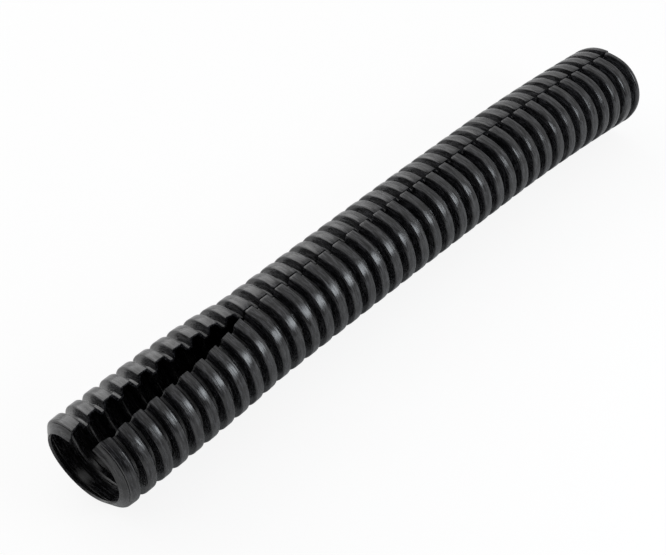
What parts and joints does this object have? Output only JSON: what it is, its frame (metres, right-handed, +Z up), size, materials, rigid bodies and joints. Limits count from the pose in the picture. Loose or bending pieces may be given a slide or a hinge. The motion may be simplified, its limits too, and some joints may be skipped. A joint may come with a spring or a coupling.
{
  "type": "split loom tube",
  "caption": "Cut length of black corrugated cable sleeve, slit along its top, with one end pulled open into a V-shaped mouth and the other end bent a little to the side.",
  "frame": {"origin": "middle of the tube's outline on the floor that it lies on", "axes": "+X along the straight middle of the tube towards its bent end, +Z up through the slit, the bent end turning towards -Y"},
  "size_m": [0.1344, 0.0206, 0.0184],
  "materials": {
    "black_polyethylene": "extruded and blow-formed black polyethylene, half matt"
  },
  "bodies": {
    "root": {"split_loom_tube": "black_polyethylene"}
  },
  "joints": []
}
